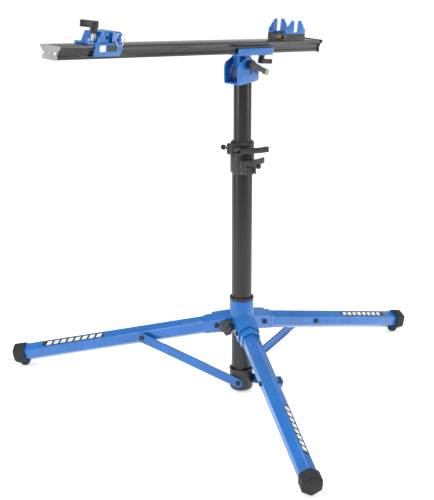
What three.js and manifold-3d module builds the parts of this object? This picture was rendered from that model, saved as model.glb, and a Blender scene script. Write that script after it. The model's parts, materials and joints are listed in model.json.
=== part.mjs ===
// Folding bicycle repair stand: three hexagonal legs on a sliding hub, a telescoping mast, and a
// tilting rail that carries a fork mount and a bottom bracket cradle. Millimetres, +Z up.
import * as THREE from 'three';
import { mergeVertices } from 'three/addons/utils/BufferGeometryUtils.js';
import Module from 'manifold-3d';

const wasm = await Module();
wasm.setup();

// ---- driving dimensions ----------------------------------------------------------------------
const GAP = 0.3;                        // clearance between pieces that touch
const DEG = Math.PI / 180;
const LEG_AZIMUTHS = [111.73, 231.73, 351.73];  // headings of the legs; the rail runs along +X
const RAIL_TILT = 7.78;                 // the far end of the rail hangs lower by this angle

const LOWER_R = 25.4;                   // lower mast tube, 50.8 outside
const LOWER_WALL = 1.8;
const LOWER_BOTTOM = 14;
const LOWER_TOP = 629;
const UPPER_R = 22.2;                   // upper mast tube, 44.4 outside
const UPPER_WALL = 1.6;
const UPPER_BOTTOM = 300;
const CLEVIS_BOTTOM = 812;

const FOOT_COLLAR = { radius: 29.8, bottom: 8, top: 64.5, flat: 27.6 };
const HUB = { bore: 25.9, radius: 30.5, bottom: 168, top: 250 };

const LEG_SLOPE = 14.85;                // legs fall outwards by this angle
const LEG_PIVOT = { r: 58.5, z: 179.7 };
const LEG_FLATS = 41;                   // hexagon across flats
const LEG_WALL = 2;
const LEG_END = 571;                    // tube end, measured along the leg from its pivot
const SADDLE = { wall: 2, start: 5.5, end: 36.5, skirt: -18 };
const ARM = { wall: 3, start: -50, end: 13, skirt: -18 };
const FOOT = { flats: 49, start: 552, end: 586, bump: 14, bumpAt: 566 };

const BRACE_FOOT_Z = 30;                // brace pivot on the foot collar
const BRACE_LEG_R = 260;                // brace pivot on the leg, distance from the mast axis
const BRACE = { width: 24, inside: 28, wall: 3, flange: 26, hole: 4.3 };
const BOLT = { shank: 4, head: 6.5, height: 4, hole: 4.3 };

const COLLAR = { radius: 29.9, bore: 25.7, bottom: 582, top: 630 };
const BAND = { radius: 29.3, bore: 22.55, bottom: 630.4, top: 662 };
const SKEWER = { rod: 3, hole: 3.4, pinRadius: 2.5, nut: 6.5, offset: 38 };
const HEIGHT_SKEWER = { azimuth: 168.5, z: 648, cam: 26, nut: -24, pin: [-10.5, 10.5] };
const TURN_SKEWER = { azimuth: 257, z: 602, cam: -28, nut: 17, pin: [-11.5, 23] };

const HEAD_SHIFT = -5;                  // head centre, along the rail from the mast axis
const TILT_PIVOT_Z = 859;
const CLEVIS = { half: 21.5, wall: 3, length: 84, crown: 19 };
const SHOULDER = { radius: 16, z: -6 };  // tall near corner of each clevis cheek
const RAIL_TOP_AT_MAST = 914;           // rail top face, measured on the mast axis
const RAIL = { near: -673, far: 300, top: 28, body: 20.6, depth: 29.8, wall: 3 };
const BRACKET = { near: -47, far: 98, lip: -16, inside: 21.8, wall: 3 };
const CARRIAGE = { near: -568, far: -480, side: 31.4, skirt: -23 };
const CRADLE = { near: 141, far: 224, height: 16.8 };

const BLUE = 0x0a6fb8;
const BLACK = 0x232325;
const RUBBER = 0x2b2b2c;
const TUBE = 0x35363a;
const STEEL = 0xb9bcc0;
const SILVER = 0xa6a6a0;
const BRONZE = 0x7a4a20;

const PAINT = { color: BLUE, roughness: 0.3, metalness: 0.1 };
const CAST = { color: BLACK, roughness: 0.45, metalness: 0.3 };
const SOFT = { color: RUBBER, roughness: 0.8, metalness: 0 };
const ANODISED = { color: TUBE, roughness: 0.4, metalness: 0.7 };
const ZINC = { color: STEEL, roughness: 0.3, metalness: 1 };

// ---- geometry helpers ------------------------------------------------------------------------
function toSolid(geometry) {
  const plain = geometry.clone();
  plain.deleteAttribute('normal');
  plain.deleteAttribute('uv');
  const welded = mergeVertices(plain, 1e-4);
  const vertProperties = new Float32Array(welded.attributes.position.array);
  const triVerts = new Uint32Array(welded.index.array);
  return new wasm.Manifold(new wasm.Mesh({ numProp: 3, vertProperties, triVerts }));
}

function toGeometry(manifold) {
  const raw = manifold.getMesh();
  const geometry = new THREE.BufferGeometry();
  geometry.setAttribute('position', new THREE.BufferAttribute(new Float32Array(raw.vertProperties), 3));
  geometry.setIndex(new THREE.BufferAttribute(new Uint32Array(raw.triVerts), 1));
  geometry.computeVertexNormals();
  return geometry;
}

// Joins the first list of geometries, then cuts the second list away.
function build(joined, cuts = []) {
  let body = toSolid(joined[0]);
  for (const piece of joined.slice(1)) body = body.add(toSolid(piece));
  for (const piece of cuts) body = body.subtract(toSolid(piece));
  return toGeometry(body);
}

function outline(points, holes = []) {
  const shape = new THREE.Shape(points.map(([x, y]) => new THREE.Vector2(x, y)));
  for (const hole of holes) {
    shape.holes.push(new THREE.Path(hole.map(([x, y]) => new THREE.Vector2(x, y))));
  }
  return shape;
}

function prism(shape, depth) {
  return new THREE.ExtrudeGeometry(shape, { depth, bevelEnabled: false, curveSegments: 10 });
}

// Section drawn in (y, z), running along +X from x0 to x1.
function alongX(shape, x0, x1) {
  const geometry = prism(shape, x1 - x0);
  geometry.rotateX(Math.PI / 2);
  geometry.rotateZ(Math.PI / 2);
  geometry.translate(x0, 0, 0);
  return geometry;
}

// Section drawn in (x, z), running along +Y from y0 to y1.
function alongY(shape, y0, y1) {
  const geometry = prism(shape, y1 - y0);
  geometry.rotateX(Math.PI / 2);
  geometry.translate(0, y1, 0);
  return geometry;
}

function alongZ(shape, z0, z1) {
  const geometry = prism(shape, z1 - z0);
  geometry.translate(0, 0, z0);
  return geometry;
}

function box(x0, x1, y0, y1, z0, z1) {
  const geometry = new THREE.BoxGeometry(x1 - x0, y1 - y0, z1 - z0);
  geometry.translate((x0 + x1) / 2, (y0 + y1) / 2, (z0 + z1) / 2);
  return geometry;
}

// A turned piece: profile points are (radius, height) and the turning axis is +Z.
function turned(profile, sides = 16) {
  const points = profile.map(([r, z]) => new THREE.Vector2(r, z));
  const geometry = new THREE.LatheGeometry(points, sides);
  geometry.rotateX(Math.PI / 2);
  return geometry;
}

function turnedAlongY(profile, sides = 16) {
  const geometry = turned(profile, sides);
  geometry.rotateX(-Math.PI / 2);
  return geometry;
}

function turnedAlongX(profile, sides = 16) {
  const geometry = turned(profile, sides);
  geometry.rotateY(Math.PI / 2);
  return geometry;
}

function rod(radius, z0, z1, sides = 16) {
  return turned([[0, z0], [radius, z0], [radius, z1], [0, z1]], sides);
}

function rodAlongY(radius, y0, y1, x = 0, z = 0, sides = 16) {
  const geometry = turnedAlongY([[0, y0], [radius, y0], [radius, y1], [0, y1]], sides);
  geometry.translate(x, 0, z);
  return geometry;
}

function ring(inner, outer, z0, z1, sides = 32) {
  return turned([[inner, z0], [outer, z0], [outer, z1], [inner, z1], [inner, z0]], sides);
}

function arc(cx, cy, radius, from, to, steps) {
  const points = [];
  for (let i = 0; i <= steps; i++) {
    const angle = (from + ((to - from) * i) / steps) * DEG;
    points.push([cx + radius * Math.cos(angle), cy + radius * Math.sin(angle)]);
  }
  return points;
}

// Hexagon standing on a corner, across flats along y; softness is the radius of its corners.
function hexagon(flats, softness) {
  const points = [];
  const radius = flats / Math.sqrt(3);
  for (let i = 0; i < 6; i++) {
    const angle = 90 + 60 * i;
    const cx = (radius - softness * 1.1547) * Math.cos(angle * DEG);
    const cy = (radius - softness * 1.1547) * Math.sin(angle * DEG);
    points.push(...arc(cx, cy, softness, angle - 30, angle + 30, 2));
  }
  return points;
}

// Roof-shaped channel, open below, that sits over a hexagonal leg.
function roof(half, wall, skirt) {
  const outer = half + wall;
  const slope = 1 / Math.sqrt(3);
  return outline([
    [outer, skirt], [outer, outer * slope], [0, 2 * outer * slope], [-outer, outer * slope],
    [-outer, skirt], [-half, skirt], [-half, half * slope], [0, 2 * half * slope],
    [half, half * slope], [half, skirt],
  ]);
}

function part(name, geometry, finish) {
  const mesh = new THREE.Mesh(geometry, new THREE.MeshStandardMaterial(finish));
  mesh.name = name;
  return mesh;
}

function group(parent, position = [0, 0, 0], rotation = [0, 0, 0]) {
  const child = new THREE.Group();
  child.position.set(...position);
  child.rotation.set(...rotation);
  parent.add(child);
  return child;
}

const stand = new THREE.Group();

// ---- mast foot -------------------------------------------------------------------------------
// Directions that point sideways from each leg's plane, where its brace lies.
const BRACE_SIDES = LEG_AZIMUTHS.map((azimuth) => azimuth + 90);

function radialHole(radius, from, to, azimuth, z) {
  const geometry = turnedAlongX([[0, from], [radius, from], [radius, to], [0, to]], 16);
  geometry.rotateZ(azimuth * DEG);
  geometry.translate(0, 0, z);
  return geometry;
}

function makeLowerTube() {
  const wall = ring(LOWER_R - LOWER_WALL, LOWER_R, LOWER_BOTTOM, LOWER_TOP, 36);
  const holes = BRACE_SIDES.map((side) => radialHole(BOLT.hole, 15, 40, side, BRACE_FOOT_Z));
  return build([wall], holes);
}

function makeFootCollar() {
  const { radius, bottom, top, flat } = FOOT_COLLAR;
  const bore = LOWER_R + GAP;
  const floor = LOWER_BOTTOM - GAP;
  const cup = turned([
    [0, bottom], [radius - 4, bottom], [radius, bottom + 5], [radius, top - 5],
    [radius + 0.9, top - 5], [radius + 0.9, top], [bore, top], [bore, floor], [0, floor],
  ], 36);
  const cuts = [];
  for (const side of BRACE_SIDES) {
    const slab = box(flat, flat + 10, -40, 40, bottom - 1, top + 1);
    slab.rotateZ(side * DEG);
    cuts.push(slab, radialHole(BOLT.hole, 10, 40, side, BRACE_FOOT_Z));
  }
  return build([cup], cuts);
}

stand.add(part('lower_tube', makeLowerTube(), ANODISED));
stand.add(part('foot_collar', makeFootCollar(), CAST));

// ---- sliding hub -----------------------------------------------------------------------------
const KNOB_AZIMUTH = 171.73;
const KNOB_Z = 186;
const ARM_HALF = LEG_FLATS / 2 + GAP + SADDLE.wall + GAP + 0.3;

function makeArm(azimuth) {
  const channel = alongX(roof(ARM_HALF, ARM.wall, ARM.skirt), ARM.start, ARM.end);
  channel.rotateY(LEG_SLOPE * DEG);
  channel.translate(LEG_PIVOT.r, 0, LEG_PIVOT.z);
  channel.rotateZ(azimuth * DEG);
  return channel;
}

function makeArmHole(azimuth) {
  const hole = rodAlongY(BOLT.hole, -40, 40, LEG_PIVOT.r, LEG_PIVOT.z, 16);
  hole.rotateZ(azimuth * DEG);
  return hole;
}

function makeHub() {
  const sleeve = rod(HUB.radius, HUB.bottom, HUB.top, 36);
  const boss = radialHole(9, 24, 37, KNOB_AZIMUTH, KNOB_Z);
  const bore = rod(HUB.bore, HUB.bottom - 30, HUB.top + 30, 36);
  const stud = radialHole(4.4, 20, 40, KNOB_AZIMUTH, KNOB_Z);
  const arms = LEG_AZIMUTHS.map(makeArm);
  return build([sleeve, boss, ...arms], [bore, stud, ...LEG_AZIMUTHS.map(makeArmHole)]);
}

function makeHubBushing() {
  const { top } = HUB;
  return turned([
    [LOWER_R + GAP, top + GAP], [31, top + GAP], [31, top + 6.5], [29.5, top + 8],
    [LOWER_R + GAP, top + 8], [LOWER_R + GAP, top + GAP],
  ], 36);
}

function starOutline(radius, lobes, depth) {
  const points = [];
  const steps = lobes * 6;
  for (let i = 0; i < steps; i++) {
    const angle = (2 * Math.PI * i) / steps;
    const reach = radius - depth * (0.5 - 0.5 * Math.cos(lobes * angle));
    points.push([reach * Math.cos(angle), reach * Math.sin(angle)]);
  }
  return outline(points);
}

function makeKnob() {
  const star = alongX(starOutline(21, 5, 6.5), 46, 60);
  const neck = turnedAlongX([[0, 40], [9, 40], [9, 46], [12, 48], [0, 48]], 20);
  const seat = turnedAlongX([[0, 39], [4.4, 39], [4.4, 52], [0, 52]], 16);
  const cap = turnedAlongX([[0, 58], [11, 58], [9.5, 62.5], [0, 63.5]], 20);
  return build([star, neck, cap], [seat]);
}

stand.add(part('base_hub', makeHub(), PAINT));
stand.add(part('hub_bushing', makeHubBushing(), CAST));
const knobSide = group(stand, [0, 0, KNOB_Z], [0, 0, KNOB_AZIMUTH * DEG]);
knobSide.add(part('hub_lock_knob', makeKnob(), CAST));
const studProfile = [[0, LOWER_R + GAP], [4, LOWER_R + GAP], [4, 51], [0, 51]];
knobSide.add(part('hub_lock_stud', turnedAlongX(studProfile, 16), ZINC));

// ---- legs and braces -------------------------------------------------------------------------
const slope = LEG_SLOPE * DEG;
const bracePivotOnLeg = (BRACE_LEG_R - LEG_PIVOT.r) / Math.cos(slope);
const bracePivotZ = LEG_PIVOT.z - bracePivotOnLeg * Math.sin(slope);
const braceRise = bracePivotZ - BRACE_FOOT_Z;
const braceLength = Math.hypot(BRACE_LEG_R, braceRise);
const braceAngle = Math.atan2(braceRise, BRACE_LEG_R);

function makeLegTube() {
  const half = LEG_FLATS / 2;
  const corner = LEG_FLATS / Math.sqrt(3) - 0.4;
  const shell = alongX(outline(hexagon(LEG_FLATS, 4)), 0, LEG_END);
  const knuckle = turnedAlongY([[0, -half], [corner / 2, -half], [corner, 0], [corner / 2, half], [0, half]]);
  const hollow = alongX(outline(hexagon(LEG_FLATS - 2 * LEG_WALL, 2)), 28, LEG_END + 1);
  const pivot = rodAlongY(BOLT.hole, -half - 1, half + 1);
  const nut = rodAlongY(BOLT.hole, -half - 1, -half + LEG_WALL + 1, bracePivotOnLeg);
  return build([shell, knuckle], [hollow, pivot, nut]);
}

function makeSaddle() {
  return alongX(roof(LEG_FLATS / 2 + GAP, SADDLE.wall, SADDLE.skirt), SADDLE.start, SADDLE.end);
}

function makeFoot() {
  const cap = alongX(outline(hexagon(FOOT.flats, 6)), FOOT.start, FOOT.end - 3);
  const face = alongX(outline(hexagon(FOOT.flats - 5, 5)), FOOT.end - 4, FOOT.end);
  const socket = alongX(outline(hexagon(LEG_FLATS + 2 * GAP, 4)), FOOT.start - 1, LEG_END + GAP);
  const heightOfBump = LEG_PIVOT.z - FOOT.bumpAt * Math.sin(slope) - FOOT.bump;
  const bump = new THREE.SphereGeometry(FOOT.bump, 14, 8);
  bump.rotateX(Math.PI / 2 + slope);
  bump.translate(FOOT.bumpAt, 0, -heightOfBump / Math.cos(slope));
  const behind = box(FOOT.end, FOOT.end + 30, -40, 40, -60, -FOOT.flats / 4);
  return build([cap, face, bump], [socket, behind]);
}

function boltAlongY(headFrom, shankTo, nutFrom = null) {
  const { shank, head, height } = BOLT;
  const bevel = 1;
  const profile = [[0, shankTo], [shank, shankTo], [shank, headFrom], [head, headFrom]];
  profile.push([head, headFrom + height - bevel], [head - bevel, headFrom + height], [0, headFrom + height]);
  if (nutFrom === null) return turnedAlongY(profile, 12);
  const tail = [[0, nutFrom - height], [head - bevel, nutFrom - height], [head, nutFrom - height + bevel]];
  tail.push([head, nutFrom], [shank, nutFrom]);
  return turnedAlongY([...tail, ...profile.slice(2)], 12);
}

function makeBrace() {
  const half = BRACE.width / 2;
  const flare = 14;
  const bar = [
    ...arc(0, 0, half, 90, 270, 10),
    [braceLength - 55, -half],
    ...arc(braceLength, 0, flare, -75, 75, 8),
    [braceLength - 55, half],
  ];
  const hole = (x) => arc(x, 0, BRACE.hole, 360, 22.5, 15);
  const plate = alongY(outline(bar, [hole(0), hole(braceLength)]), BRACE.inside, BRACE.inside + BRACE.wall);
  const start = 88;
  const end = braceLength - 62;
  const top = box(start, end, BRACE.flange, BRACE.inside + 1, half - 2.5, half - 0.2);
  const low = box(start, end, BRACE.flange, BRACE.inside + 1, -half + 0.2, -half + 2.5);
  return build([plate, top, low]);
}

const halfLeg = LEG_FLATS / 2;
const braceFace = BRACE.inside + BRACE.wall + GAP;
LEG_AZIMUTHS.forEach((azimuth, index) => {
  const number = index + 1;
  const side = group(stand, [0, 0, 0], [0, 0, azimuth * DEG]);
  const leg = group(side, [LEG_PIVOT.r, 0, LEG_PIVOT.z], [0, slope, 0]);
  leg.add(part(`leg_tube_${number}`, makeLegTube(), PAINT));
  leg.add(part(`leg_saddle_${number}`, makeSaddle(), PAINT));
  leg.add(part(`leg_foot_${number}`, makeFoot(), SOFT));
  const nut = group(leg, [bracePivotOnLeg, 0, 0], [0, 0, Math.PI]);
  nut.add(part(`brace_nut_${number}`, boltAlongY(halfLeg + GAP, halfLeg - LEG_WALL), CAST));
  const bolt = boltAlongY(ARM_HALF + ARM.wall + GAP, 0, -(ARM_HALF + ARM.wall + GAP));
  leg.add(part(`leg_pivot_bolt_${number}`, bolt, CAST));
  const brace = group(side, [0, 0, BRACE_FOOT_Z], [0, -braceAngle, 0]);
  brace.add(part(`brace_${number}`, makeBrace(), PAINT));
  brace.add(part(`brace_pivot_bolt_${number}`, boltAlongY(braceFace, 20.5), CAST));
  const far = group(brace, [braceLength, 0, 0]);
  far.add(part(`brace_leg_bolt_${number}`, boltAlongY(braceFace, halfLeg + 0.8), CAST));
});

// ---- mast clamp: turning collar below, height band above ----------------------------------------
// The skewers lie level beside the mast. In a skewer's own frame +X points away from the mast and
// +Y runs along the rod.
function inSkewerFrame(geometry, skewer) {
  geometry.rotateZ(skewer.azimuth * DEG);
  geometry.translate(0, 0, skewer.z);
  return geometry;
}

function makeEars(skewer, low, high, from, to) {
  const face = SKEWER.offset + 5.5;
  const block = outline([
    [20, from], [face - 4, from], [face, from + 4], [face, to - 4], [face - 4, to], [20, to],
  ]);
  return inSkewerFrame(alongZ(block, low, high), skewer);
}

function makeClampCuts(skewer, height) {
  const slot = inSkewerFrame(box(15, 60, -1.5, 1.5, -height, height), skewer);
  const hole = inSkewerFrame(rodAlongY(SKEWER.hole, -60, 60, SKEWER.offset), skewer);
  return [slot, hole];
}

function makeTurnCollar() {
  const { radius, bottom, top } = COLLAR;
  const sleeve = turned([
    [0, bottom], [radius - 3.5, bottom], [radius, bottom + 4.5], [radius, top], [0, top],
  ], 36);
  const ears = makeEars(TURN_SKEWER, -15, 7, -6, 12);
  const bore = rod(COLLAR.bore, bottom - 1, top + 1, 36);
  const [slot, hole] = makeClampCuts(TURN_SKEWER, 60);
  return build([sleeve, ears], [bore, slot, hole]);
}

function makeHeightBand() {
  const { radius, bottom, top } = BAND;
  const sleeve = turned([
    [0, bottom], [radius, bottom], [radius, top - 1.5], [radius - 1.5, top], [0, top],
  ], 36);
  const ears = makeEars(HEIGHT_SKEWER, -12.5, 12.5, -13, 13);
  const bore = rod(BAND.bore, bottom - 1, top + 1, 36);
  const [slot, hole] = makeClampCuts(HEIGHT_SKEWER, 60);
  return build([sleeve, ears], [bore, slot, hole]);
}

// Rod with its nut at one end and an upright cam pin at the other.
function makeSkewer(skewer) {
  const direction = Math.sign(skewer.cam);
  const nutLow = Math.min(skewer.nut, skewer.nut - direction * 8);
  const low = Math.min(skewer.cam, nutLow);
  const high = Math.max(skewer.cam, nutLow + 8);
  const bar = rodAlongY(SKEWER.rod, low + (direction < 0 ? 0 : 3), high - (direction < 0 ? 3 : 0), 0, 0, 16);
  const nut = turnedAlongY([
    [0, nutLow], [SKEWER.nut - 1, nutLow], [SKEWER.nut, nutLow + 1],
    [SKEWER.nut, nutLow + 7], [SKEWER.nut - 1, nutLow + 8], [0, nutLow + 8],
  ], 12);
  const pin = rod(SKEWER.pinRadius, skewer.pin[0], skewer.pin[1], 16);
  pin.translate(0, skewer.cam, 0);
  return build([bar, nut, pin]);
}

// Cam lever: two cheeks on the upright pin, joined to a curved blade that sweeps round the mast.
function makeLever(lever) {
  const { blade, bend, low, high, thick, barrelEnds, web } = lever;
  const start = new THREE.Vector2(6, 0);
  const end = new THREE.Vector2(blade, bend * 0.55);
  const curve = new THREE.QuadraticBezierCurve(start, new THREE.Vector2(blade * 0.55, -bend), end);
  const samples = curve.getPoints(10);
  const edge = [];
  const back = [];
  samples.forEach((point, i) => {
    const tangent = curve.getTangent(i / 10);
    const width = (thick / 2) * (i === 10 ? 0.6 : 1);
    edge.push([point.x - tangent.y * width, point.y + tangent.x * width]);
    back.unshift([point.x + tangent.y * width, point.y - tangent.x * width]);
  });
  const arm = alongZ(outline([...edge, ...back].reverse()), low, high);
  const barrel = rod(7.5, barrelEnds[0], barrelEnds[1], 20);
  const fork = box(-20, 4.5, -20, 20, -3.6, 3.6);
  fork.rotateZ(web * DEG);
  const bore = rod(SKEWER.pinRadius + GAP, -30, 40, 16);
  return build([barrel, arm], [fork, bore]);
}

const HEIGHT_LEVER = { blade: 78, bend: 9, low: -6, high: 7, thick: 6, barrelEnds: [-11, 11], web: 0 };
const TURN_LEVER = { blade: 61, bend: 10, low: 9, high: 23, thick: 5, barrelEnds: [-12, 23.5], web: -120 };
const clamp = group(stand, [0, 0, 0]);
clamp.add(part('turn_collar', makeTurnCollar(), CAST));
clamp.add(part('height_band', makeHeightBand(), CAST));

function addSkewer(name, leverName, skewer, lever, heading) {
  const frame = group(clamp, [0, 0, skewer.z], [0, 0, skewer.azimuth * DEG]);
  const bar = group(frame, [SKEWER.offset, 0, 0]);
  bar.add(part(name, makeSkewer(skewer), ZINC));
  const pivot = group(bar, [0, skewer.cam, 0], [0, 0, (heading - skewer.azimuth) * DEG]);
  pivot.add(part(leverName, makeLever(lever), CAST));
}

addSkewer('height_skewer', 'height_lever', HEIGHT_SKEWER, HEIGHT_LEVER, -42);
addSkewer('turn_skewer', 'turn_lever', TURN_SKEWER, TURN_LEVER, -24);

// ---- upper mast and tilt clevis --------------------------------------------------------------
// Plug in the upper tube's lower end, with a flange that slides in the lower tube.
function makeTubeGuide() {
  const bore = 14;
  const plug = ring(bore, UPPER_R - UPPER_WALL - GAP, UPPER_BOTTOM - 6, UPPER_BOTTOM + 20);
  const flange = ring(bore, LOWER_R - LOWER_WALL - GAP, UPPER_BOTTOM - 8, UPPER_BOTTOM - GAP);
  return build([plug, flange]);
}

function makeClevis() {
  const { half, wall, length, crown } = CLEVIS;
  const base = CLEVIS_BOTTOM - TILT_PIVOT_Z;
  const side = length / 2;
  const cheek = outline([
    ...arc(8 - side, base + 8, 8, 180, 270, 4), ...arc(side - 8, base + 8, 8, -90, 0, 4),
    ...arc(side - 10, -26, 10, 0, 50, 3), ...arc(0, 0, crown, 50, 110, 7),
    ...arc(SHOULDER.radius - side, SHOULDER.z, SHOULDER.radius, 95, 180, 6),
  ]);
  const front = alongY(cheek, -half, -half + wall);
  const rear = alongY(cheek, half - wall, half);
  const floor = box(6 - side, side - 6, -half + 1, half - 1, base, base + 4);
  const spigot = rod(UPPER_R - UPPER_WALL - GAP, base - 34, base + 2, 32);
  spigot.translate(-HEAD_SHIFT, 0, 0);
  const bore = rodAlongY(5.3, -60, 60);
  return build([front, rear, floor, spigot], [bore]);
}

function makeTiltBolt() {
  const end = CLEVIS.half + GAP;
  return turnedAlongY([
    [0, -end - 7], [5, -end - 7], [5, end], [10, end], [10, end + 6], [9, end + 7], [0, end + 7],
  ], 20);
}

// Clamping lever about +Z: a round hub and an arm with a heavier tip.
function makeClampLever({ hub, neck, height, reach, tip, bore }) {
  const stem = turned([[0, 0], [neck, 0], [neck, height * 0.4], [hub, height * 0.45],
    [hub, height - 1.5], [hub - 1.5, height], [0, height]], 24);
  const low = height * 0.45;
  const arm = alongZ(outline([
    [0, -hub * 0.7], [reach * 0.75, -tip * 0.8], [reach - 2, -tip], [reach, -tip + 2],
    [reach, tip - 2], [reach - 2, tip], [reach * 0.75, tip * 0.8], [0, hub * 0.7],
  ]), low, height);
  const seat = rod(bore, -1, height * 0.6, 16);
  return build([stem, arm], [seat]);
}

const head = group(stand);
const upperTube = ring(UPPER_R - UPPER_WALL, UPPER_R, UPPER_BOTTOM, CLEVIS_BOTTOM - GAP, 36);
head.add(part('upper_tube', upperTube, ANODISED));
head.add(part('tube_guide', makeTubeGuide(), SOFT));
const pivotFrame = group(head, [HEAD_SHIFT, 0, TILT_PIVOT_Z]);
pivotFrame.add(part('head_clevis', makeClevis(), PAINT));
pivotFrame.add(part('tilt_bolt', makeTiltBolt(), ZINC));
const TILT_LEVER = { hub: 12, neck: 10, height: 15, reach: 68, tip: 6.5, bore: 5.3 };
const tiltLeverFrame = group(pivotFrame, [0, -CLEVIS.half - GAP, 0], [Math.PI / 2, 0, 0]);
const tiltLeverTurn = group(tiltLeverFrame, [0, 0, 0], [0, 0, -25 * DEG]);
tiltLeverTurn.add(part('tilt_lever', makeClampLever(TILT_LEVER), CAST));

// ---- rail bracket ----------------------------------------------------------------------------
// Everything above the tilt pivot is drawn in the rail's own frame: x along the rail from the mast
// axis, y across it, and z = 0 on the rail's top face.
const tilt = RAIL_TILT * DEG;
const drop = TILT_PIVOT_Z - RAIL_TOP_AT_MAST;
const pivotX = HEAD_SHIFT * Math.cos(tilt) - drop * Math.sin(tilt);
const pivotZ = HEAD_SHIFT * Math.sin(tilt) + drop * Math.cos(tilt);
const tilting = group(head, [0, 0, RAIL_TOP_AT_MAST], [0, tilt, 0]);
const LOCK_STUD_X = 84;

function makeBracket() {
  const { near, far, lip, inside, wall } = BRACKET;
  const under = -RAIL.depth - GAP;
  const floor = box(near, far, -inside - wall, inside + wall, under - 3.2, under);
  const cheek = outline([[near, under - 3.2], [far - 13, under - 3.2], [far, under + 6],
    [far, lip], [near, lip]]);
  const front = alongY(cheek, -inside - wall, -inside);
  const rear = alongY(cheek, inside, inside + wall);
  const tongue = alongY(outline([
    [pivotX - 26, under - 1], ...arc(pivotX, pivotZ, 18, 190, 350, 12), [pivotX + 26, under - 1],
  ]), -9, 9);
  const boss = rod(11, under - 7, under - 1, 24);
  boss.translate(LOCK_STUD_X, 0, 0);
  const bore = rodAlongY(5.3, -60, 60, pivotX, pivotZ);
  const stud = rod(4.3, under - 12, under + 1, 16);
  stud.translate(LOCK_STUD_X, 0, 0);
  return build([floor, front, rear, tongue, boss], [bore, stud]);
}

tilting.add(part('rail_bracket', makeBracket(), PAINT));
const under = -RAIL.depth - GAP;
const lockStud = group(tilting, [LOCK_STUD_X, 0, under - GAP]);
lockStud.add(part('rail_lock_stud', rod(4, -18, 0, 16), ZINC));
const LOCK_LEVER = { hub: 9, neck: 7.5, height: 20, reach: 30, tip: 6.5, bore: 4.3 };
const lockLever = group(tilting, [LOCK_STUD_X, 0, under - 7 - GAP], [Math.PI, 0, 20 * DEG]);
lockLever.add(part('rail_lock_lever', makeClampLever(LOCK_LEVER), CAST));

// ---- rail and its end caps -------------------------------------------------------------------
function railHalf(top, body, depth, lip) {
  return [
    [top, 0], [top, -lip], [body + 0.8, -lip - (top - body - 0.8)], [body + 0.8, -16.5],
    [body - 1.2, -17.5], [body - 1.2, -22], [body, -23], [body, -depth + 2], [body - 2, -depth],
  ];
}

function railOutline(grow = 0) {
  const right = railHalf(RAIL.top + grow, RAIL.body + grow, RAIL.depth + grow, 4.7);
  const left = [...right].reverse().map(([y, z]) => [-y, z]);
  return [...left, ...right].map(([y, z]) => [y, z === 0 ? grow : z]).reverse();
}

function makeRail() {
  const { top, body, depth, wall, near, far } = RAIL;
  const hollowTop = outline([[-top + 4.5, -2.6], [-body + 4.2, -9.5], [-3.5, -9.5], [-3.5, -2.6]].reverse());
  const hollowTopB = outline([[top - 4.5, -2.6], [body - 4.2, -9.5], [3.5, -9.5], [3.5, -2.6]]);
  const low = -depth + wall;
  const hollowLow = outline([[-body + 4.2, -12.5], [-body + 4.2, low], [body - 4.2, low], [body - 4.2, -12.5]]);
  const body3d = alongX(outline(railOutline()), near, far);
  const cuts = [hollowTop, hollowTopB, hollowLow].map((shape) => alongX(shape, near - 1, far + 1));
  return build([body3d], cuts);
}

const CAP_SCREWS = [-15.8, 15.8];
const CAP_SCREW_Z = -15.8;

function makeNearCap() {
  const plate = alongX(outline(railOutline(0.4)), RAIL.near - 3.3, RAIL.near - GAP);
  const badge = turnedAlongX([[0, -3.2], [7, -3.2], [7, -4.2], [6, -4.9], [0, -4.9]].reverse(), 28);
  badge.scale(1, 1.15, 0.8);
  badge.translate(RAIL.near, 0, -14.5);
  const holes = CAP_SCREWS.map((y) => {
    const hole = turnedAlongX([[0, -8], [2.3, -8], [2.3, 1], [0, 1]], 12);
    hole.translate(RAIL.near, y, CAP_SCREW_Z);
    return hole;
  });
  return build([plate, badge], holes);
}

function makeFarCap() {
  const plate = alongX(outline(railOutline(0.4)), RAIL.far + GAP, RAIL.far + 1.6);
  const rim = alongX(outline(railOutline(1.4)), RAIL.far + 1.5, RAIL.far + 4);
  return build([plate, rim]);
}

function makeCapScrew() {
  return turnedAlongX([[0, -5.6], [3, -5.6], [3.6, -5], [3.6, -3.6], [2, -3.6], [2, -1], [0, -1]], 8);
}

tilting.add(part('rail', makeRail(), ANODISED));
tilting.add(part('near_end_cap', makeNearCap(), { color: SILVER, roughness: 0.5, metalness: 0.1 }));
tilting.add(part('far_end_cap', makeFarCap(), CAST));
CAP_SCREWS.forEach((y, index) => {
  const spot = group(tilting, [RAIL.near, y, CAP_SCREW_Z]);
  spot.add(part(`cap_screw_${index + 1}`, makeCapScrew(), ZINC));
});

// ---- fork mount ------------------------------------------------------------------------------
const DECK = 6;
const CARRIAGE_STUD = { x: -559, y: -14 };
const AXLE_SLOT = { near: -525.5, far: -513, floor: 9 };
const BLOCK_TOP = 30;

function makeCarriageBase() {
  const { near, far, side, skirt } = CARRIAGE;
  const deck = box(near, far, -side, side, 0.5, DECK);
  const lean = 9;
  const skirtShape = outline([[near + 2, DECK], [near - lean + 3, skirt], [far - lean, skirt],
    [far, skirt + 15], [far, DECK]].reverse());
  const front = alongY(skirtShape, -side, -RAIL.top - 0.5);
  const rear = alongY(skirtShape, RAIL.top + 0.5, side);
  const stud = rod(4.3, -1, DECK + 1, 16);
  stud.translate(CARRIAGE_STUD.x, CARRIAGE_STUD.y, 0);
  return build([deck, front, rear], [stud]);
}

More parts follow.
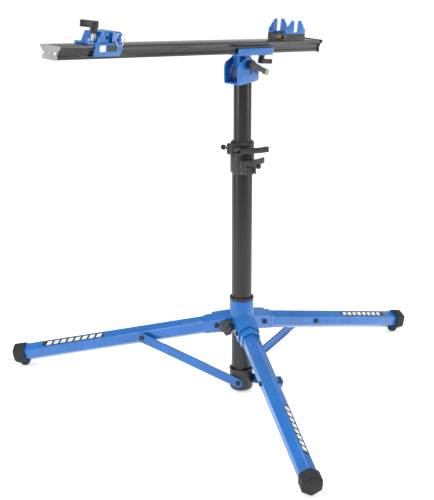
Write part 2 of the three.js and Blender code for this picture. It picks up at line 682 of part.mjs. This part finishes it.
function makeForkBlock() {
  const base = DECK + GAP;
  const side = outline([
    [-558, base], [AXLE_SLOT.near, base], [AXLE_SLOT.near, BLOCK_TOP - 2], [AXLE_SLOT.near - 2, BLOCK_TOP],
    [-545, BLOCK_TOP], [-548, BLOCK_TOP - 2],
  ]);
  const block = alongY(side, -29, 22);
  const notch = rod(9, base - 1, BLOCK_TOP + 1, 24);
  notch.translate(CARRIAGE_STUD.x, CARRIAGE_STUD.y, 0);
  const recess = rodAlongY(4.5, -30, -16, -531, 17, 18);
  const pocket = box(-546, -534, 23 - 16, 23, base + 8, BLOCK_TOP + 1);
  return build([block], [notch, recess, pocket]);
}

function makeForkJaw() {
  const base = DECK + GAP;
  const { far } = AXLE_SLOT;
  const end = -484;
  const side = outline([
    [far, base], [end, base], [end, BLOCK_TOP - 6], ...arc(end - 6, BLOCK_TOP - 6, 6, 0, 90, 4),
    [far + 2, BLOCK_TOP], [far, BLOCK_TOP - 2],
  ]);
  const block = alongY(side, -29, 22);
  const screws = [12, 23].map((z) => turnedAlongY([
    [0, -35.8], [3.6, -35.8], [4.2, -35.2], [4.2, -34.2], [2.6, -34.2], [2.6, -28], [0, -28],
  ], 12).translate(-493, 0, z));
  return build([block, ...screws]);
}

function makeTetherRing() {
  const radius = 14;
  const wire = 0.9;
  const geometry = new THREE.TorusGeometry(radius, wire, 6, 24);
  geometry.rotateX(Math.PI / 2);
  geometry.translate(0, 0, 2.6 + wire + GAP - radius);
  return geometry;
}

tilting.add(part('carriage_base', makeCarriageBase(), PAINT));
tilting.add(part('fork_block', makeForkBlock(), PAINT));
tilting.add(part('fork_jaw', makeForkJaw(), PAINT));
const tether = group(tilting, [-493, -33, 23], [0, -tilt, 0]);
tether.add(part('tether_ring', makeTetherRing(), ZINC));
const studFrame = group(tilting, [CARRIAGE_STUD.x, CARRIAGE_STUD.y, 0]);
studFrame.add(part('carriage_stud', rod(4, 0.6, 36, 16), ZINC));
const CARRIAGE_LEVER = { hub: 10, neck: 8, height: 27, reach: 31, tip: 7, bore: 4.3 };
const carriageLever = group(studFrame, [0, 0, 25.5], [0, 0, 110 * DEG]);
carriageLever.add(part('carriage_lever', makeClampLever(CARRIAGE_LEVER), CAST));

// ---- bottom bracket cradle -------------------------------------------------------------------
const CRADLE_SCREW = { y: -12, z: 9 };

function makeCradleBlock() {
  const { near, far, height } = CRADLE;
  const block = alongY(outline([
    [near, 0.5], [far, 0.5], [far, height - 1.5], [far - 1.5, height], [near + 1.5, height],
    [near, height - 1.5],
  ]), -28, 28);
  const screw = turnedAlongX([[0, near - 5], [2.9, near - 5], [2.9, near + 14], [0, near + 14]], 12);
  screw.translate(0, CRADLE_SCREW.y, CRADLE_SCREW.z);
  const scoop = box(near + 22, far - 22, -14, 14, height - 6, height + 5);
  return build([block], [screw, scoop]);
}

// U-shaped fork plate with pointed prongs, on a foot that is bolted to the block.
function makeCradleArm() {
  const middle = (CRADLE.near + CRADLE.far) / 2;
  const base = CRADLE.height + GAP;
  const half = [
    [9.5, 47], [13, 50.5], [18, 50.5], [25, 42], [29, 40], [34, 31], [40.5, 29],
    [40.5, base],
  ];
  const right = half.map(([x, z]) => [middle + x, z]);
  const left = [...half].reverse().map(([x, z]) => [middle - x, z]);
  const bottomOfSlot = [...arc(middle - 5, 24, 4, 180, 270, 4), ...arc(middle + 5, 24, 4, 270, 360, 4)];
  const plate = alongY(outline([...left, ...bottomOfSlot, ...right]), -28, -24);
  const foot = box(middle - 38, middle + 38, -25, -15.5, base, base + 3);
  return build([plate, foot], [box(middle - 9, middle + 9, -26, -10, base + 3, 60)]);
}

tilting.add(part('cradle_block', makeCradleBlock(), CAST));
tilting.add(part('cradle_arm_front', makeCradleArm(), PAINT));
const rearArm = group(tilting, [CRADLE.near + CRADLE.far, 0, 0], [0, 0, Math.PI]);
rearArm.add(part('cradle_arm_rear', makeCradleArm(), PAINT));
const screwProfile = [[0, -6], [5, -6], [5.5, -5], [5.5, -0.5], [2.5, -0.5], [2.5, 13], [0, 13]];
const cradleScrew = group(tilting, [CRADLE.near, CRADLE_SCREW.y, CRADLE_SCREW.z]);
const bronze = { color: BRONZE, roughness: 0.4, metalness: 0.8 };
cradleScrew.add(part('cradle_lock_screw', turnedAlongX(screwProfile, 16), bronze));

export default stand;
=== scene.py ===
"""Bicycle repair stand: finishes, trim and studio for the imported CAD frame. Metres, +Z up."""

import json
from math import cos, pi, radians, sin

import bmesh
import bpy
from mathutils import Matrix, Vector


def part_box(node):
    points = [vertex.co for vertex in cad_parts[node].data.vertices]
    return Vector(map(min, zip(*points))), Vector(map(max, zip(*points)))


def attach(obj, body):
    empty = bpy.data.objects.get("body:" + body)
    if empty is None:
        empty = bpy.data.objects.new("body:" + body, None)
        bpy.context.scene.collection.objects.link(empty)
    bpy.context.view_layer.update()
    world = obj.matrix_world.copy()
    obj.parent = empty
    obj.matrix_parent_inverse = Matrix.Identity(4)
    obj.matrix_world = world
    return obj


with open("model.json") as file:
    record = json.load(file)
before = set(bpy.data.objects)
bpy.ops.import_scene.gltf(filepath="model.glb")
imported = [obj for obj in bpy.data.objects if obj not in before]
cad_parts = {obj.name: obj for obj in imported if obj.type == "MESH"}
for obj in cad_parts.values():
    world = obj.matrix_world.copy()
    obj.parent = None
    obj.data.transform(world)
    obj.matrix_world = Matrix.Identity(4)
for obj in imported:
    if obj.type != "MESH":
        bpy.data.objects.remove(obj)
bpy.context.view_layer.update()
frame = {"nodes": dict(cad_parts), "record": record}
nodes = frame["nodes"]
SLOT_OF = {s["node"]: s["material_slot"] for s in frame["record"]["subparts"]}
TILT = radians(7.78)                      # how far the rail hangs towards +X
MM = 0.001


# ---- material helpers ------------------------------------------------------------------------
def new_material(name, color, roughness, metallic=0.0, coat=0.0):
    """A Principled material with the plain values that its detail starts from."""
    mat = bpy.data.materials.new(name)
    mat.use_nodes = True
    shader = mat.node_tree.nodes["Principled BSDF"]
    shader.inputs["Base Color"].default_value = (*color, 1)
    shader.inputs["Roughness"].default_value = roughness
    shader.inputs["Metallic"].default_value = metallic
    shader.inputs["Coat Weight"].default_value = coat
    shader.inputs["Coat Roughness"].default_value = 0.12
    return mat, mat.node_tree, shader


def noise(tree, scale, detail=3.0, stretch=(1, 1, 1)):
    """3-D noise in object space, stretched along an axis for drawn or brushed metal."""
    coords = tree.nodes.new("ShaderNodeTexCoord")
    mapping = tree.nodes.new("ShaderNodeMapping")
    mapping.inputs["Scale"].default_value = stretch
    texture = tree.nodes.new("ShaderNodeTexNoise")
    texture.inputs["Scale"].default_value = scale
    texture.inputs["Detail"].default_value = detail
    tree.links.new(coords.outputs["Object"], mapping.inputs["Vector"])
    tree.links.new(mapping.outputs["Vector"], texture.inputs["Vector"])
    return texture.outputs["Fac"]


def ramp(tree, source, low, high, start=0.3, end=0.7):
    """Spreads a noise value between two colours."""
    node = tree.nodes.new("ShaderNodeValToRGB")
    node.color_ramp.elements[0].position = start
    node.color_ramp.elements[1].position = end
    node.color_ramp.elements[0].color = (*low, 1)
    node.color_ramp.elements[1].color = (*high, 1)
    tree.links.new(source, node.inputs["Fac"])
    return node.outputs["Color"]


def spread(tree, source, low, high):
    node = tree.nodes.new("ShaderNodeMapRange")
    node.inputs["To Min"].default_value = low
    node.inputs["To Max"].default_value = high
    node.inputs["From Min"].default_value = 0.3
    node.inputs["From Max"].default_value = 0.7
    tree.links.new(source, node.inputs["Value"])
    return node.outputs["Result"]


def add_bump(tree, shader, source, strength, distance):
    bump = tree.nodes.new("ShaderNodeBump")
    bump.inputs["Strength"].default_value = strength
    bump.inputs["Distance"].default_value = distance
    tree.links.new(source, bump.inputs["Height"])
    tree.links.new(bump.outputs["Normal"], shader.inputs["Normal"])


def shade(color, factor):
    return tuple(min(1.0, c * factor) for c in color)


def detailed(name, color, roughness, metallic, coat, patch, grain, bump, stretch=(1, 1, 1)):
    """Broad colour patches, finer roughness changes and a bump, at the given noise scales."""
    mat, tree, shader = new_material(name, color, roughness, metallic, coat)
    broad = noise(tree, patch, 4.0)
    fine = noise(tree, grain, 3.0, stretch)
    tree.links.new(ramp(tree, broad, shade(color, 0.86), shade(color, 1.12)), shader.inputs["Base Color"])
    wear = spread(tree, fine, roughness * 0.85, min(1.0, roughness * 1.25))
    tree.links.new(wear, shader.inputs["Roughness"])
    add_bump(tree, shader, fine, bump, 0.0004)
    return mat


BLUE = (0.0, 0.125, 0.440)
MATERIALS = {
    "blue_paint": detailed("blue_paint", BLUE, 0.28, 0.0, 0.35, 14, 420, 0.06),
    "anodised": detailed("anodised", (0.010, 0.010, 0.011), 0.30, 0.1, 0.0, 9, 160, 0.05, (9, 9, 0.5)),
    "black_cast": detailed("black_cast", (0.011, 0.011, 0.012), 0.42, 0.0, 0.1, 40, 1500, 0.35),
    "rubber": detailed("rubber", (0.013, 0.013, 0.014), 0.72, 0.0, 0.0, 30, 900, 0.5),
    "steel": detailed("steel", (0.52, 0.52, 0.53), 0.26, 1.0, 0.0, 60, 900, 0.12),
    "grey_plastic": detailed("grey_plastic", (0.27, 0.27, 0.26), 0.5, 0.0, 0.0, 40, 1400, 0.3),
    "bronze": detailed("bronze", (0.26, 0.12, 0.05), 0.4, 0.9, 0.0, 90, 900, 0.2),
}
RAIL_METAL = detailed("rail_metal", (0.013, 0.013, 0.014), 0.22, 0.15, 0.1, 9, 220, 0.03, (0.4, 9, 9))
DARK_STEEL = detailed("dark_steel", (0.06, 0.06, 0.06), 0.32, 0.9, 0.0, 60, 900, 0.12)
LABEL_WHITE = detailed("label_white", (0.75, 0.75, 0.75), 0.5, 0.0, 0.0, 60, 900, 0.05)
LABEL_DARK = detailed("label_dark", (0.015, 0.016, 0.02), 0.35, 0.0, 0.2, 60, 900, 0.05)
# Near-black for the bolt-socket plugs: painted shade standing in for the dark inside of each hex recess.
SOCKET_PAINTED_SHADE = detailed("socket_painted_shade", (0.003, 0.003, 0.003), 0.6, 0.0, 0.0, 60, 900, 0.2)
TIP_GREY = detailed("tip_grey", (0.30, 0.30, 0.29), 0.4, 0.0, 0.1, 60, 900, 0.2)


# ---- finishing the CAD nodes -----------------------------------------------------------------
def smoothing_group(limit):
    """A geometry-node group that shades smooth across edges flatter than the limit."""
    group = bpy.data.node_groups.new("smooth_by_angle", "GeometryNodeTree")
    group.interface.new_socket("Geometry", in_out="INPUT", socket_type="NodeSocketGeometry")
    group.interface.new_socket("Geometry", in_out="OUTPUT", socket_type="NodeSocketGeometry")
    start = group.nodes.new("NodeGroupInput")
    end = group.nodes.new("NodeGroupOutput")
    angle = group.nodes.new("GeometryNodeInputMeshEdgeAngle")
    compare = group.nodes.new("FunctionNodeCompare")
    compare.data_type = "FLOAT"
    compare.operation = "LESS_THAN"
    compare.inputs["B"].default_value = limit
    faces = group.nodes.new("GeometryNodeSetShadeSmooth")
    faces.domain = "FACE"
    edges = group.nodes.new("GeometryNodeSetShadeSmooth")
    edges.domain = "EDGE"
    group.links.new(start.outputs[0], faces.inputs["Geometry"])
    group.links.new(faces.outputs["Geometry"], edges.inputs["Geometry"])
    group.links.new(angle.outputs["Unsigned Angle"], compare.inputs["A"])
    group.links.new(compare.outputs["Result"], edges.inputs["Shade Smooth"])
    group.links.new(edges.outputs["Geometry"], end.inputs[0])
    return group


SMOOTH = smoothing_group(radians(33))
EDGE = {"lower_tube": 0.4, "upper_tube": 0.4, "rail": 0.5, "base_hub": 1.0, "head_clevis": 1.0,
        "rail_bracket": 1.0, "cradle_arm_front": 0.7, "cradle_arm_rear": 0.7, "tether_ring": 0.0}


def round_edges(obj, width):
    weld = obj.modifiers.new("weld", "WELD")
    weld.merge_threshold = 0.00002
    flat = obj.modifiers.new("flat", "DECIMATE")
    flat.decimate_type = "DISSOLVE"
    flat.angle_limit = radians(0.7)
    if width > 0:
        bevel = obj.modifiers.new("edges", "BEVEL")
        bevel.width = width
        bevel.segments = 2
        bevel.limit_method = "ANGLE"
        bevel.angle_limit = radians(33)
    smooth = obj.modifiers.new("smooth", "NODES")
    smooth.node_group = SMOOTH


def set_material(obj, mat):
    obj.data.materials.clear()
    obj.data.materials.append(mat)


SPECIAL = {"rail": RAIL_METAL, "height_skewer": DARK_STEEL, "turn_skewer": DARK_STEEL}
for name, obj in nodes.items():
    round_edges(obj, EDGE.get(name, 0.5) * MM)
    set_material(obj, SPECIAL.get(name, MATERIALS[SLOT_OF[name]]))


# ---- trim pieces -----------------------------------------------------------------------------
def mesh_piece(name, bm, mat, body, place=None):
    """A finished mesh object that rides on a body."""
    mesh = bpy.data.meshes.new(name)
    if place is not None:
        bm.transform(place)
    bm.normal_update()
    bm.to_mesh(mesh)
    bm.free()
    obj = bpy.data.objects.new(name, mesh)
    bpy.context.scene.collection.objects.link(obj)
    obj.data.materials.append(mat)
    smooth = obj.modifiers.new("smooth", "NODES")
    smooth.node_group = SMOOTH
    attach(obj, body)
    return obj


def rounded_plate(width, height, thickness, corner, bevel=0.0003):
    """A flat plate with round corners in the XZ plane; its outer face looks along -Y."""
    bm = bmesh.new()
    points = []
    for sx, sz, start in ((1, 1, 0), (-1, 1, 90), (-1, -1, 180), (1, -1, 270)):
        for step in range(5):
            angle = radians(start + 22.5 * step)
            x = sx * (width / 2 - corner) + corner * cos(angle)
            z = sz * (height / 2 - corner) + corner * sin(angle)
            points.append(bm.verts.new((x, 0, z)))
    face = bm.faces.new(points)
    made = bmesh.ops.extrude_face_region(bm, geom=[face])
    moved = [v for v in made["geom"] if isinstance(v, bmesh.types.BMVert)]
    bmesh.ops.translate(bm, verts=moved, vec=(0, -thickness, 0))
    bmesh.ops.recalc_face_normals(bm, faces=bm.faces)
    rim = [e for e in bm.edges if all(v in moved for v in e.verts)]
    bmesh.ops.bevel(bm, geom=rim, offset=bevel, segments=2, affect="EDGES")
    return bm


def lathe(profile, steps=64):
    """A closed ring turned about +Z from (radius, height) points."""
    bm = bmesh.new()
    verts = [bm.verts.new((r, 0, z)) for r, z in profile]
    loop = [bm.edges.new((a, b)) for a, b in zip(verts, verts[1:] + verts[:1])]
    bmesh.ops.spin(bm, geom=verts + loop, cent=(0, 0, 0), axis=(0, 0, 1), angle=2 * pi, steps=steps,
                   use_merge=True)
    bmesh.ops.remove_doubles(bm, verts=bm.verts, dist=1e-6)
    bmesh.ops.recalc_face_normals(bm, faces=bm.faces)
    return bm


def rail_place(x, y, z):
    """Where a point in the rail's own frame lies: x along it, z off its top face, in metres."""
    top = Vector((0, 0, 0.914))
    return Matrix.Translation(top) @ Matrix.Rotation(TILT, 4, "Y") @ Matrix.Translation((x, y, z))


def add_clevis_label():
    low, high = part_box("head_clevis")
    at = (low.x + 0.052, low.y, 0.840)
    plate = rounded_plate(0.010, 0.014, 0.0004, 0.0015)
    mesh_piece("clevis_label", plate, LABEL_DARK, "upper_mast", Matrix.Translation(at))


def add_band_ring():
    low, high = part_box("height_band")
    profile = [(0.0226, 0.0), (0.0262, 0.0), (0.0262, 0.0016), (0.0255, 0.0024), (0.0226, 0.0024)]
    place = Matrix.Translation((0, 0, high.z))
    mesh_piece("band_ring", lathe(profile), DARK_STEEL, "mast_clamp", place)


# The fork mount's label: a plain pale square beside a dark strip on the front skirt.
def add_mount_label():
    face = -0.0314
    square = rounded_plate(0.019, 0.014, 0.0003, 0.001, 0.0001)
    strip = rounded_plate(0.032, 0.013, 0.0003, 0.001, 0.0001)
    mesh_piece("mount_label_square", square, LABEL_WHITE, "carriage",
               rail_place(-0.545, face, -0.006))
    mesh_piece("mount_label_strip", strip, LABEL_DARK, "carriage",
               rail_place(-0.515, face, -0.006))


# ---- legs: stripe decals and painted shade in bolt sockets -------------------------------------
LEG_AZIMUTHS = (111.73, 231.73, 351.73)
LEG_PIVOT = (0.0585, 0, 0.1797)
LEG_SLOPE = radians(14.85)
LEG_FACE = 0.0205                         # axis to a flat of the hexagonal leg
STRIPE = {"start": 0.318, "end": 0.498, "height": 0.015, "bars": 8}
STRIPE_SIDES = (1, 1, -1)                 # which upper flat of each leg carries the stripe


def leg_place(index):
    turn = Matrix.Rotation(radians(LEG_AZIMUTHS[index]), 4, "Z")
    return turn @ Matrix.Translation(LEG_PIVOT) @ Matrix.Rotation(LEG_SLOPE, 4, "Y")


def on_upper_flat(along, side, lift):
    """Local place on an upper flat of a leg: X along the leg, -Y out of the flat."""
    out = Vector((0, side * 0.5, cos(radians(30))))
    across = Vector((1, 0, 0)).cross(-out)
    place = Matrix((
        (1, -out.x, across.x, along),
        (0, -out.y, across.y, out.y * (LEG_FACE + lift)),
        (0, -out.z, across.z, out.z * (LEG_FACE + lift)),
        (0, 0, 0, 1),
    ))
    return place


def slanted_bars(length, height, count, thickness):
    """A row of slanted bars in the XZ plane, centred, facing -Y."""
    bm = bmesh.new()
    pitch = length / count
    lean = height * 0.35
    for i in range(count):
        x0 = -length / 2 + pitch * i
        x1 = x0 + pitch * 0.68
        corners = [(x0, -height / 2), (x1, -height / 2), (x1 + lean, height / 2), (x0 + lean, height / 2)]
        face = bm.faces.new([bm.verts.new((x, 0, z)) for x, z in corners])
        made = bmesh.ops.extrude_face_region(bm, geom=[face])
        moved = [v for v in made["geom"] if isinstance(v, bmesh.types.BMVert)]
        bmesh.ops.translate(bm, verts=moved, vec=(0, -thickness, 0))
    bmesh.ops.recalc_face_normals(bm, faces=bm.faces)
    return bm


def add_stripes():
    middle = (STRIPE["start"] + STRIPE["end"]) / 2
    length = STRIPE["end"] - STRIPE["start"]
    for index, side in enumerate(STRIPE_SIDES):
        number = index + 1
        place = leg_place(index)
        back = rounded_plate(length, STRIPE["height"], 0.00015, 0.003, 0.00005)
        mesh_piece(f"leg_{number}_stripe_back", back, LABEL_DARK, f"leg_{number}",
                   place @ on_upper_flat(middle, side, 0.00005))
        bars = slanted_bars(length - 0.014, STRIPE["height"] - 0.004, STRIPE["bars"], 0.0001)
        mesh_piece(f"leg_{number}_stripe_bars", bars, LABEL_WHITE, f"leg_{number}",
                   place @ on_upper_flat(middle - 0.002, side, 0.00022))


def socket_shade_plug(width, depth=0.0003):
    """A thin raised hexagon facing +Y, coloured near-black as painted shade where a socket-head bolt's
    recess is.
    """
    bm = bmesh.new()
    points = [(width / 2 * cos(pi / 3 * i), width / 2 * sin(pi / 3 * i)) for i in range(6)]
    face = bm.faces.new([bm.verts.new((x, 0, z)) for x, z in points])
    made = bmesh.ops.extrude_face_region(bm, geom=[face])
    moved = [v for v in made["geom"] if isinstance(v, bmesh.types.BMVert)]
    bmesh.ops.translate(bm, verts=moved, vec=(0, depth, 0))
    bmesh.ops.recalc_face_normals(bm, faces=bm.faces)
    return bm


# Each bolt head gets a near-black hexagon, painted shade in place of its socket recess.
def add_socket_shades():
    half_turn = Matrix.Rotation(pi, 4, "Z")
    brace_end = Matrix.Translation((0, 0, 0.03))
    for index in range(3):
        number = index + 1
        turn = Matrix.Rotation(radians(LEG_AZIMUTHS[index]), 4, "Z")
        pivot = leg_place(index)
        face = 0.0307
        for suffix, flip in (("a", Matrix()), ("b", half_turn)):
            mesh_piece(f"pivot_socket_shade_{number}{suffix}", socket_shade_plug(0.0065), SOCKET_PAINTED_SHADE, f"leg_{number}",
                       pivot @ flip @ Matrix.Translation((0, face, 0)))
        mesh_piece(f"brace_socket_shade_{number}", socket_shade_plug(0.0065), SOCKET_PAINTED_SHADE, f"brace_{number}",
                   turn @ brace_end @ Matrix.Translation((0, 0.0353, 0)))


# ---- lever tips --------------------------------------------------------------------------------
def pad(size, bevel):
    """A soft-edged block."""
    bm = bmesh.new()
    bmesh.ops.create_cube(bm, size=1)
    bmesh.ops.scale(bm, vec=size, verts=bm.verts)
    bmesh.ops.bevel(bm, geom=bm.edges[:], offset=bevel, segments=4, affect="EDGES", profile=0.6)
    return bm


def add_lever_tips():
    droop = radians(25)
    reach = 0.061
    tip = (-0.005 + reach * cos(droop), -0.0327, 0.859 - reach * sin(droop))
    place = Matrix.Translation(tip) @ Matrix.Rotation(droop, 4, "Y")
    mesh_piece("tilt_lever_tip", pad((0.015, 0.0096, 0.0148), 0.0014), TIP_GREY, "tilt_lever",
               place)
    blade_low, blade_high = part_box("height_lever")
    spot = (blade_high.x - 0.008, blade_low.y + 0.006, (blade_low.z + blade_high.z) / 2 + 0.0005)
    place = Matrix.Translation(spot) @ Matrix.Rotation(radians(-28), 4, "Z")
    mesh_piece("height_lever_tip", pad((0.018, 0.009, 0.0145), 0.0042), MATERIALS["black_cast"],
               "height_lever", place)


add_clevis_label()
add_band_ring()
add_mount_label()
add_stripes()
add_socket_shades()
add_lever_tips()


# ---- studio ----------------------------------------------------------------------------------
def make_camera():
    data = bpy.data.cameras.new("camera")
    data.sensor_fit = "VERTICAL"
    data.sensor_height = 36
    data.lens = 114.6
    data.shift_y = -0.146
    data.clip_end = 60
    camera = bpy.data.objects.new("camera", data)
    camera.location = (-3.0409, -2.2888, 1.6445)
    camera.rotation_euler = (radians(74.237), 0, radians(-52.09))
    bpy.context.scene.collection.objects.link(camera)
    bpy.context.scene.camera = camera


def make_floor():
    bm = bmesh.new()
    bmesh.ops.create_grid(bm, x_segments=4, y_segments=4, size=30)
    mesh = bpy.data.meshes.new("floor")
    bm.to_mesh(mesh)
    bm.free()
    floor = bpy.data.objects.new("floor", mesh)
    mat, tree, shader = new_material("floor", (0.99, 0.99, 0.99), 0.7)
    shader.inputs["Emission Color"].default_value = (1, 1, 1, 1)
    shader.inputs["Emission Strength"].default_value = 0.5
    floor.data.materials.append(mat)
    bpy.context.scene.collection.objects.link(floor)


def area_light(name, place, size, power, target=(0, 0, 0.5)):
    data = bpy.data.lights.new(name, "AREA")
    data.shape = "RECTANGLE"
    data.size, data.size_y = size
    data.energy = power
    light = bpy.data.objects.new(name, data)
    light.location = place
    light.rotation_euler = (Vector(target) - Vector(place)).to_track_quat("-Z", "Y").to_euler()
    bpy.context.scene.collection.objects.link(light)


def make_lights():
    world = bpy.data.worlds.new("studio")
    world.use_nodes = True
    world.node_tree.nodes["Background"].inputs["Color"].default_value = (1, 1, 1, 1)
    world.node_tree.nodes["Background"].inputs["Strength"].default_value = 0.55
    bpy.context.scene.world = world
    area_light("top", (-0.4, -0.3, 3.2), (2.2, 2.2), 50)
    area_light("left", (-2.6, 1.2, 1.8), (0.6, 2.4), 45)
    area_light("right", (1.2, -2.8, 1.6), (0.4, 2.2), 30)


bpy.context.scene.view_settings.view_transform = "Standard"
make_camera()
make_floor()
make_lights()
